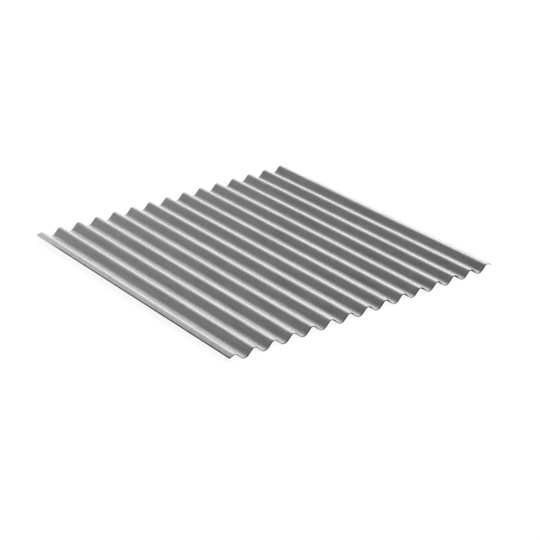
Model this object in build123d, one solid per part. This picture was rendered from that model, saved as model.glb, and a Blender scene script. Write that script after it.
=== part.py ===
"""A bare steel roof and wall sheet, roll-formed into fifteen round corrugations.

The sheet lies flat with its valleys down. Its own frame has X across the
corrugations, Y along them and Z up. The origin is on the floor, midway between
the two long edges and midway between the two cut ends.
"""

from build123d import *
import math
import os

# Driving dimensions, in millimetres.
INCH = 25.4
CRESTS = 15
PITCH = 8 / 3 * INCH  # from one crest to the next
DEPTH = 7 / 8 * INCH  # from the underside of a valley to the top of a crest
CREST_RADIUS = 1 / 2 * INCH  # under each crest
VALLEY_RADIUS = 11 / 16 * INCH  # in the top of each valley
THICKNESS = 1.0
LENGTH = 994.0
EDGE_OVERHANG = 18.5  # from an outer crest's middle to the trimmed long edge beside it
EDGE_SLOPE = 22.0  # in degrees; the two outermost flanks are less steep than the others

# The middle of the sheet's thickness follows round bends joined by straight flanks.
CREST_MIDDLE = CREST_RADIUS + THICKNESS / 2
VALLEY_MIDDLE = VALLEY_RADIUS + THICKNESS / 2
CREST_CENTRE_Z = DEPTH - THICKNESS / 2 - CREST_MIDDLE
VALLEY_CENTRE_Z = THICKNESS / 2 + VALLEY_MIDDLE
HALF_PITCH = PITCH / 2
FIRST_CREST_X = -(CRESTS - 1) * HALF_PITCH
EDGE = math.radians(EDGE_SLOPE)


def flank_angle():
    """The slope, in radians, of a straight flank that touches a crest and a valley."""
    rise = VALLEY_CENTRE_Z - CREST_CENTRE_Z
    between_centres = math.hypot(HALF_PITCH, rise)
    return math.asin((CREST_MIDDLE + VALLEY_MIDDLE) / between_centres) - math.atan2(rise, HALF_PITCH)


FLANK = flank_angle()


def bend(x, z, radius, start, end):
    """Two arcs about (x, z), from one falling slope to another, that meet where the bend is level.

    A crest has a positive radius. A valley has a negative one, so it passes under (x, z).
    """
    arcs = []
    for slopes in ((start, start / 2, 0), (0, end / 2, end)):
        points = [(x + radius * math.sin(slope), z + radius * math.cos(slope)) for slope in slopes]
        arcs.append(ThreePointArc(*points))
    return arcs


def crest(x, offset, left, right):
    """The bend over a crest, offset up from the middle of the steel, between two slopes."""
    return bend(x, CREST_CENTRE_Z, CREST_MIDDLE + offset, -left, right)


def valley(x, offset):
    """The bend through a valley, offset up from the middle of the steel."""
    return bend(x, VALLEY_CENTRE_Z, offset - VALLEY_MIDDLE, FLANK, -FLANK)


def long_edge(side, offset):
    """A point of the long edge, trimmed square to its flank. The left edge has side -1."""
    down_flank = (EDGE_OVERHANG - CREST_MIDDLE * math.sin(EDGE)) / math.cos(EDGE)
    x = EDGE_OVERHANG - FIRST_CREST_X + offset * math.sin(EDGE)
    z = CREST_CENTRE_Z + (CREST_MIDDLE + offset) * math.cos(EDGE) - down_flank * math.sin(EDGE)
    return (side * x, z)


def face_line(offset):
    """One face of the sheet across its whole width, offset up from the middle of the steel."""
    arcs = []
    for number in range(CRESTS):
        x = FIRST_CREST_X + number * PITCH
        left = EDGE if number == 0 else FLANK
        right = EDGE if number == CRESTS - 1 else FLANK
        arcs += crest(x, offset, left, right)
        if number < CRESTS - 1:
            arcs += valley(x + HALF_PITCH, offset)
    flanks = [Line(long_edge(-1, offset), arcs[0] @ 0)]
    for before, after in zip(arcs[1::2], arcs[2::2]):
        flanks.append(Line(before @ 1, after @ 0))
    flanks.append(Line(arcs[-1] @ 1, long_edge(1, offset)))
    return arcs + flanks


def corrugated_sheet():
    """The whole sheet: its wavy section, extruded along the corrugations."""
    upper = THICKNESS / 2
    outline = face_line(upper) + face_line(-upper)
    for side in (-1, 1):
        outline.append(Line(long_edge(side, upper), long_edge(side, -upper)))
    return Rot(90, 0, 0) * extrude(make_face(outline), LENGTH / 2, both=True)


def main():
    os.makedirs("parts", exist_ok=True)
    sheet = corrugated_sheet()
    sheet.label = "corrugated_sheet"
    export_step(sheet, "parts/corrugated_sheet.step")
    size = sheet.bounding_box().size
    print(f"flank slope {math.degrees(FLANK):.2f} degrees")
    print(f"size {size.X:.2f} x {size.Y:.2f} x {size.Z:.2f} mm, {sheet.volume / 1e6:.4f} litres")


main()
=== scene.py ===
"""Looks for the corrugated steel sheet: its fine mesh and galvanised finish, the floor, lights and camera."""

import math

import bmesh
import bpy
from mathutils import Matrix, Vector


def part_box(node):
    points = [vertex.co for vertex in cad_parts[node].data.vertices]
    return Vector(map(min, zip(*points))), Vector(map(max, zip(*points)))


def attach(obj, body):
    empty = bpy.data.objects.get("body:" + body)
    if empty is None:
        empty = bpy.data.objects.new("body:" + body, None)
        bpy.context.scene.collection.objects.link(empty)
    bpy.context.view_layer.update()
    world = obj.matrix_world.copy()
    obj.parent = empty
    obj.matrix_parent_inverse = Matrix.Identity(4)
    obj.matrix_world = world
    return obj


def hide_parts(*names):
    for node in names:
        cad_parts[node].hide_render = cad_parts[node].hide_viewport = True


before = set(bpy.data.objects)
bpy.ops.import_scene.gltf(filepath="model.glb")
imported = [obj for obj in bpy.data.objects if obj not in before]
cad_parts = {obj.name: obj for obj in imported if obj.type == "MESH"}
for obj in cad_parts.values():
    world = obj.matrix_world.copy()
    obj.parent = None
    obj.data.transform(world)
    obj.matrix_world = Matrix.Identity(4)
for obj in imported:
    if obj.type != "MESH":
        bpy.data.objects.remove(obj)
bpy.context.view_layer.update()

# The sheet's driving dimensions, in metres, as in the part's source.
MM = 0.001
INCH = 0.0254
CRESTS = 15
PITCH = 8 / 3 * INCH
DEPTH = 7 / 8 * INCH
CREST_RADIUS = 1 / 2 * INCH
VALLEY_RADIUS = 11 / 16 * INCH
THICKNESS = 1.0 * MM
EDGE_OVERHANG = 18.5 * MM
EDGE = math.radians(22.0)
LIFTED_EDGE = math.radians(15.0)  # at the left edge's rear end, to bring that corner nearer the photo's
LOW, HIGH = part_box("corrugated_sheet")
LENGTH = HIGH[1] - LOW[1]

CREST_MIDDLE = CREST_RADIUS + THICKNESS / 2
VALLEY_MIDDLE = VALLEY_RADIUS + THICKNESS / 2
CREST_CENTRE_Z = DEPTH - THICKNESS / 2 - CREST_MIDDLE
VALLEY_CENTRE_Z = THICKNESS / 2 + VALLEY_MIDDLE
HALF_PITCH = PITCH / 2
FIRST_CREST_X = -(CRESTS - 1) * HALF_PITCH

# How finely the mesh follows the section and the length.
CREST_STEPS = 12
VALLEY_STEPS = 14
FLANK_STEPS = 2
ROWS = 90

# How the sheared edges are rounded off.
EDGE_ROUND = 0.12 * MM
EDGE_ROUND_STEPS = 2
EDGE_ROUND_FROM = math.radians(60)  # only corners at least this sharp


def flank_angle():
    """The slope, in radians, of a straight flank that touches a crest and a valley."""
    rise = VALLEY_CENTRE_Z - CREST_CENTRE_Z
    between_centres = math.hypot(HALF_PITCH, rise)
    return math.asin((CREST_MIDDLE + VALLEY_MIDDLE) / between_centres) - math.atan2(rise, HALF_PITCH)


FLANK = flank_angle()


def bend(x, z, radius, start, end, steps):
    """One bend from left to right, as points of x, z and lean to +X. A valley's radius is negative."""
    points = []
    for step in range(steps + 1):
        lean = start + (end - start) * step / steps
        points.append((x + radius * math.sin(lean), z + radius * math.cos(lean), lean))
    return points


def crest(number, left_edge):
    """The bend over one crest. left_edge is the slope of the sheet's outermost flank on the left."""
    x = FIRST_CREST_X + number * PITCH
    start = left_edge if number == 0 else FLANK
    end = EDGE if number == CRESTS - 1 else FLANK
    return bend(x, CREST_CENTRE_Z, CREST_MIDDLE, -start, end, CREST_STEPS)


def valley(number):
    """The bend through the valley to the right of one crest."""
    x = FIRST_CREST_X + number * PITCH + HALF_PITCH
    return bend(x, VALLEY_CENTRE_Z, -VALLEY_MIDDLE, FLANK, -FLANK, VALLEY_STEPS)


def long_edge(side, slope):
    """The middle of the steel at a trimmed long edge. The left edge has side -1."""
    down_flank = (EDGE_OVERHANG - CREST_MIDDLE * math.sin(slope)) / math.cos(slope)
    height = CREST_CENTRE_Z + CREST_MIDDLE * math.cos(slope) - down_flank * math.sin(slope)
    return (side * (EDGE_OVERHANG - FIRST_CREST_X), height, side * slope)


def flank(start, end):
    """The points between two bends, or between a bend and a long edge."""
    steps = [step / FLANK_STEPS for step in range(1, FLANK_STEPS)]
    return [tuple(a + (b - a) * t for a, b in zip(start, end)) for t in steps]


def section(along):
    """The middle of the steel across the sheet, as points of x, z and lean to +X. along is 0 to 1."""
    left_edge = EDGE + (LIFTED_EDGE - EDGE) * along
    line = [long_edge(-1, left_edge)]
    for number in range(CRESTS):
        top = crest(number, left_edge)
        line += flank(line[-1], top[0]) + top
        if number < CRESTS - 1:
            bottom = valley(number)
            line += flank(line[-1], bottom[0]) + bottom
    return line + flank(line[-1], long_edge(1, EDGE)) + [long_edge(1, EDGE)]


# Which of the mesh's materials the cut faces have. The rest have the first one.
CUT_SLOT = 1


def sheet_mesh():
    """The sheet as a closed mesh: an upper and an under face, joined along the four cut edges."""
    mesh = bmesh.new()
    sides = []
    for offset in (THICKNESS / 2, -THICKNESS / 2):
        rows = []
        for row in range(ROWS + 1):
            line = section(row / ROWS)
            y = LENGTH * (row / ROWS - 0.5)
            rows.append([
                mesh.verts.new((x + offset * math.sin(lean), y, min(z + offset * math.cos(lean), HIGH[2])))
                for x, z, lean in line
            ])
        sides.append(rows)
    upper, under = sides
    gaps = len(upper[0]) - 1
    for row in range(ROWS):
        for i in range(gaps):
            a, b = upper[row], upper[row + 1]
            mesh.faces.new((a[i], a[i + 1], b[i + 1], b[i]))
            a, b = under[row], under[row + 1]
            mesh.faces.new((a[i], b[i], b[i + 1], a[i + 1]))
    cut = []
    for i in range(gaps):
        cut.append((under[0][i], under[0][i + 1], upper[0][i + 1], upper[0][i]))
        cut.append((upper[-1][i], upper[-1][i + 1], under[-1][i + 1], under[-1][i]))
    for row in range(ROWS):
        cut.append((under[row + 1][0], under[row][0], upper[row][0], upper[row + 1][0]))
        cut.append((under[row][-1], under[row + 1][-1], upper[row + 1][-1], upper[row][-1]))
    for corners in cut:
        mesh.faces.new(corners).material_index = CUT_SLOT
    data = bpy.data.meshes.new("galvanised_sheet")
    mesh.to_mesh(data)
    mesh.free()
    data.shade_smooth()
    return data


# The part of a noise's values that is used. Values past its ends are held there.
NOISE_RANGE = (0.3, 0.7)

# How much finer than the crystals the noise is that bends their borders.
WOBBLE = 2.2


class Graph:
    """Short ways to add and join the nodes of one material, or of the world."""

    def __init__(self, name=None, tree=None):
        if name:
            self.material = bpy.data.materials.new(name)
            self.material.use_nodes = True
            tree = self.material.node_tree
            self.shader = tree.nodes["Principled BSDF"]
        self.nodes = tree.nodes
        self.links = tree.links

    def add(self, kind, **values):
        node = self.nodes.new("ShaderNode" + kind)
        for name, value in values.items():
            setattr(node, name, value)
        return node

    def put(self, value, socket):
        """Sets a socket to a number, or joins it to another node's output."""
        if isinstance(value, bpy.types.NodeSocket):
            self.links.new(value, socket)
        else:
            socket.default_value = value

    def math(self, operation, *values):
        node = self.add("Math", operation=operation)
        for value, socket in zip(values, node.inputs):
            self.put(value, socket)
        return node.outputs["Value"]

    def place(self, scale):
        """Places on the piece in metres, stretched by a scale for each axis."""
        mapping = self.add("Mapping")
        self.links.new(self.add("TexCoord").outputs["Object"], mapping.inputs["Vector"])
        mapping.inputs["Scale"].default_value = scale
        return mapping.outputs["Vector"]

    def noise(self, scale, detail=2.0, rough=0.5):
        """Noise between 0 and 1 with one feature in 1/scale metres, along each axis."""
        node = self.add("TexNoise")
        self.links.new(self.place(scale), node.inputs["Vector"])
        node.inputs["Scale"].default_value = 1.0
        node.inputs["Detail"].default_value = detail
        node.inputs["Roughness"].default_value = rough
        return node.outputs["Fac"]

    def spangle(self, cell):
        """The frost-like crystals of a zinc coating: one random grey for each crystal."""
        node = self.add("TexVoronoi")
        bent = self.add("VectorMath", operation="ADD")
        wobble = self.add("TexNoise")
        self.links.new(self.place((1 / cell,) * 3), bent.inputs[0])
        self.links.new(self.place((WOBBLE / cell,) * 3), wobble.inputs["Vector"])
        wobble.inputs["Scale"].default_value = 1.0
        self.links.new(wobble.outputs["Color"], bent.inputs[1])
        self.links.new(bent.outputs["Vector"], node.inputs["Vector"])
        node.inputs["Scale"].default_value = 1.0
        grey = self.add("SeparateColor")
        self.links.new(node.outputs["Color"], grey.inputs["Color"])
        return grey.outputs["Red"]

    def spread(self, value, low, high, start=0.0, stop=1.0):
        """Maps start to low and stop to high, held between them."""
        node = self.add("MapRange")
        for item, name in ((value, "Value"), (start, "From Min"), (stop, "From Max"),
                           (low, "To Min"), (high, "To Max")):
            self.put(item, node.inputs[name])
        return node.outputs["Result"]

    def bump(self, height, distance, normal=None):
        node = self.add("Bump")
        self.links.new(height, node.inputs["Height"])
        node.inputs["Distance"].default_value = distance
        node.inputs["Strength"].default_value = 1.0
        if normal:
            self.links.new(normal, node.inputs["Normal"])
        return node.outputs["Normal"]

    def shades(self, value, size):
        """Noise as a change of at most size, up or down."""
        return self.spread(value, -size, size, *NOISE_RANGE)

    def grey(self, value):
        node = self.add("CombineColor")
        for name in ("Red", "Green", "Blue"):
            self.links.new(value, node.inputs[name])
        return node.outputs["Color"]


# The zinc coating: how bright, metallic and rough it is, and the size of its crystals.
ZINC_GREY = 0.55
ZINC_METAL = 0.9
ZINC_ROUGHNESS = 0.44
CRYSTAL = 7 * MM

# How much each pattern lightens or darkens the zinc, as a share of its brightness.
CRYSTAL_SHADE = 0.025
MOTTLE_SHADE = 0.2
STREAK_SHADE = 0.1
ROLL_SHADE = 0.05
CLOUD_SHADE = 0.03

# How much the crystals and streaks change the roughness, and how high each pattern stands.
ROUGHNESS_CHANGE = 0.03
MOTTLE_HEIGHT = 0.12 * MM
STREAK_HEIGHT = 0.04 * MM
CRYSTAL_HEIGHT = 0.03 * MM

# A painted shade: a dark band along the cut edges that stands in for the shadow under and at them. How wide
# it is along the long edges and along the cut ends, how much of the zinc's brightness is left there, and
# where along Y it has faded out towards the rear.
SIDE_SHADE_WIDTH = 3.6 * MM
END_SHADE_WIDTH = 3.0 * MM
EDGE_SHADE_TONE = 0.15
EDGE_SHADE_FADES = (0.36, 0.43)
EDGE_SHADE_BLUR = 0.3 * MM  # how far its border wanders and is blurred, either way


def painted_edge_shade(g):
    """1 on the zinc, and darker in a painted shade: a dark band beside the cut edges that stands in for the
    shadow there.
    """
    place = g.add("SeparateXYZ")
    g.links.new(g.place((1, 1, 1)), place.inputs["Vector"])
    wander = g.shades(g.noise((60, 60, 60)), EDGE_SHADE_BLUR)
    lines = []
    for axis, edge, width in (("X", HIGH[0], SIDE_SHADE_WIDTH), ("Y", HIGH[1], END_SHADE_WIDTH)):
        inwards = g.math("SUBTRACT", edge, g.math("ABSOLUTE", place.outputs[axis]))
        inwards = g.math("ADD", inwards, wander)
        lines.append(g.spread(inwards, 1, 0, width - EDGE_SHADE_BLUR, width + EDGE_SHADE_BLUR))
    faded = g.spread(place.outputs["Y"], 1, 0, *EDGE_SHADE_FADES)
    line = g.math("MULTIPLY", g.math("MAXIMUM", *lines), faded)
    return g.spread(line, 1, EDGE_SHADE_TONE)


def galvanised():
    """Zinc on steel: fine crystals, fine and broad streaks from the rolls, and slow cloudy patches."""
    g = Graph("galvanised_steel")
    crystals = g.spangle(CRYSTAL)
    mottle = g.noise((230, 230, 230), detail=3.0, rough=0.6)
    streaks = g.noise((420, 7, 420), detail=2.0)
    rolls = g.noise((150, 1.5, 150), detail=1.0)
    clouds = g.noise((9, 5, 9), detail=2.0)
    shade = g.spread(crystals, -CRYSTAL_SHADE, CRYSTAL_SHADE)
    patterns = ((mottle, MOTTLE_SHADE), (streaks, STREAK_SHADE), (rolls, ROLL_SHADE), (clouds, CLOUD_SHADE))
    for pattern, size in patterns:
        shade = g.math("ADD", shade, g.shades(pattern, size))
    # The zinc's tone, darkened beside the cut edges by the painted shade.
    tone = g.math("MULTIPLY", g.math("MULTIPLY", g.math("ADD", shade, 1.0), ZINC_GREY), painted_edge_shade(g))
    g.links.new(g.grey(tone), g.shader.inputs["Base Color"])
    rough = g.spread(crystals, -ROUGHNESS_CHANGE, ROUGHNESS_CHANGE)
    rough = g.math("ADD", rough, g.shades(streaks, ROUGHNESS_CHANGE))
    g.links.new(g.math("ADD", rough, ZINC_ROUGHNESS), g.shader.inputs["Roughness"])
    normal = g.bump(mottle, MOTTLE_HEIGHT)
    normal = g.bump(streaks, STREAK_HEIGHT, normal=normal)
    normal = g.bump(crystals, CRYSTAL_HEIGHT, normal=normal)
    g.links.new(normal, g.shader.inputs["Normal"])
    g.shader.inputs["Metallic"].default_value = ZINC_METAL
    return g.material


# The cut faces: their brightness, darker than bare steel as a painted shade, how lines change it, their
# roughness, and how high the lines stand.
CUT_GREY_AND_SHADE = (0.05, 0.12)
CUT_LINES = (0.7, 1.3)
CUT_ROUGHNESS = (0.5, 0.65)
CUT_METAL = 0.7
CUT_HEIGHT = 0.05 * MM


def cut_steel():
    """The sheared edge: dull steel, its colour darkened past bare steel as a painted shade, with fine lines
    across the thickness.
    """
    g = Graph("cut_edge")
    lines = g.noise((900, 900, 60), detail=3.0)
    patches = g.noise((40, 40, 40))
    across = g.spread(lines, *CUT_LINES, *NOISE_RANGE)
    # The cut face's tone, kept very dark as a painted shade on the dull steel.
    tone = g.math("MULTIPLY", across, g.spread(patches, *CUT_GREY_AND_SHADE, *NOISE_RANGE))
    g.links.new(g.grey(tone), g.shader.inputs["Base Color"])
    g.links.new(g.spread(lines, *CUT_ROUGHNESS), g.shader.inputs["Roughness"])
    g.links.new(g.bump(lines, CUT_HEIGHT), g.shader.inputs["Normal"])
    g.shader.inputs["Metallic"].default_value = CUT_METAL
    return g.material


def make_sheet():
    data = sheet_mesh()
    data.materials.append(galvanised())
    data.materials.append(cut_steel())
    sheet = bpy.data.objects.new("galvanised_sheet", data)
    bpy.context.collection.objects.link(sheet)
    bevel = sheet.modifiers.new("sheared_edge", "BEVEL")
    bevel.width = EDGE_ROUND
    bevel.segments = EDGE_ROUND_STEPS
    bevel.limit_method = "ANGLE"
    bevel.angle_limit = EDGE_ROUND_FROM
    bevel.harden_normals = True
    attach(sheet, "root")
    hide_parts("corrugated_sheet")
    return sheet


# The paper: its colour and roughness, how much of its white is its own, and how strong that white is.
PAPER_GREY = 0.97
PAPER_ROUGHNESS = 0.9
PAPER_WHITE = 0.88
WHITE_STRENGTH = 1.05
FLOOR_SIZE = 60


def paper():
    """Pale paper. Seen directly or mirrored it is nearly white, and it still takes a shadow.

    Reflections see no white of its own under the sheet, where the paper lies in the dark.
    """
    g = Graph("paper")
    g.shader.inputs["Base Color"].default_value = (PAPER_GREY, PAPER_GREY, PAPER_GREY, 1)
    g.shader.inputs["Roughness"].default_value = PAPER_ROUGHNESS
    place = g.add("SeparateXYZ")
    g.links.new(g.add("NewGeometry").outputs["Position"], place.inputs["Vector"])
    beside = g.math("GREATER_THAN", g.math("ABSOLUTE", place.outputs["X"]), HIGH[0])
    before = g.math("GREATER_THAN", g.math("ABSOLUTE", place.outputs["Y"]), HIGH[1])
    outside = g.math("MAXIMUM", beside, before)
    rays = g.add("LightPath").outputs
    mirrored = g.math("MAXIMUM", rays["Is Glossy Ray"], rays["Is Transmission Ray"])
    seen = g.math("MAXIMUM", rays["Is Camera Ray"], g.math("MULTIPLY", mirrored, outside))
    white = g.add("Emission", name="white")
    white.inputs["Strength"].default_value = WHITE_STRENGTH
    mix = g.add("MixShader")
    g.put(g.math("MULTIPLY", seen, PAPER_WHITE), mix.inputs["Fac"])
    g.links.new(g.shader.outputs["BSDF"], mix.inputs[1])
    g.links.new(white.outputs["Emission"], mix.inputs[2])
    g.links.new(mix.outputs["Shader"], g.nodes["Material Output"].inputs["Surface"])
    return g.material


def make_floor():
    bpy.ops.mesh.primitive_plane_add(size=FLOOR_SIZE)
    floor = bpy.context.object
    floor.name = "floor"
    floor.data.materials.append(paper())


# The studio lights: azimuth from +X towards +Y, elevation, how wide each is in the sky, and strength,
# where 1 lights white paper to white from straight above.
LAMPS = {
    "key": (0, 58, 60, 0.37),
    "key_rear": (45, 58, 60, 0.16),
    "key_front": (315, 58, 60, 0.15),
    "right": (0, 38, 60, 0.22),
    "right_front": (323, 38, 60, 0.32),
    "right_rear": (30, 20, 60, 0.16),
    "rear": (90, 6, 60, 0.26),
    "rear_corner": (60, 6, 60, 0.13),
}

# The white backdrop all round fades out between these elevations. It is seen and mirrored below them.
BACKDROP_TOP = (math.radians(11), math.radians(14))


def make_lights():
    for name, (azimuth, elevation, width, strength) in LAMPS.items():
        light = bpy.data.lights.new(name, "SUN")
        light.angle = math.radians(width)
        light.energy = strength * math.pi
        lamp = bpy.data.objects.new(name, light)
        az, el = math.radians(azimuth), math.radians(elevation)
        towards = Vector((math.cos(az) * math.cos(el), math.sin(az) * math.cos(el), math.sin(el)))
        lamp.rotation_euler = towards.to_track_quat("Z", "Y").to_euler()
        bpy.context.collection.objects.link(lamp)


def make_backdrop():
    """White just above the horizon for the eye and for reflections, and no light of its own."""
    world = bpy.data.worlds.new("studio")
    world.use_nodes = True
    g = Graph(tree=world.node_tree)
    up = g.add("SeparateXYZ")
    g.links.new(g.add("TexCoord").outputs["Generated"], up.inputs["Vector"])
    below = g.spread(up.outputs["Z"], 1, 0, *(math.sin(angle) for angle in BACKDROP_TOP))
    rays = g.add("LightPath").outputs
    seen = g.math("MAXIMUM", rays["Is Glossy Ray"], rays["Is Transmission Ray"])
    seen = g.math("MAXIMUM", rays["Is Camera Ray"], seen)
    background = g.nodes["Background"]
    background.inputs["Color"].default_value = (1, 1, 1, 1)
    g.links.new(g.math("MULTIPLY", seen, below), background.inputs["Strength"])
    bpy.context.scene.world = world


# The photograph's camera: where it looks, from which side and how far, and its lens.
AIM = Vector((-45.7, -104.4, 0)) * MM
AZIMUTH = math.radians(38.620)
ELEVATION = math.radians(25.380)
ROLL = math.radians(0.858)
DISTANCE = 4714 * MM
FRAME_PIXELS = 540
FOCAL_PIXELS = 1576.2
SENSOR_MM = 36
FARTHEST = 200  # how far the camera sees, past the floor's far edge


def make_camera():
    lens = bpy.data.cameras.new("camera")
    lens.sensor_width = SENSOR_MM
    lens.lens = FOCAL_PIXELS / FRAME_PIXELS * SENSOR_MM
    lens.clip_end = FARTHEST
    back = Vector((
        -math.sin(AZIMUTH) * math.cos(ELEVATION),
        -math.cos(AZIMUTH) * math.cos(ELEVATION),
        math.sin(ELEVATION),
    ))
    right = Vector((0, 0, 1)).cross(back).normalized()
    up = back.cross(right)
    tilted_right = right * math.cos(ROLL) + up * math.sin(ROLL)
    tilted_up = up * math.cos(ROLL) - right * math.sin(ROLL)
    axes = Matrix((tilted_right, tilted_up, back)).transposed().to_4x4()
    camera = bpy.data.objects.new("camera", lens)
    camera.matrix_world = Matrix.Translation(AIM + back * DISTANCE) @ axes
    bpy.context.collection.objects.link(camera)
    bpy.context.scene.camera = camera


make_sheet()
make_floor()
make_lights()
make_backdrop()
make_camera()
bpy.context.scene.view_settings.view_transform = "Standard"
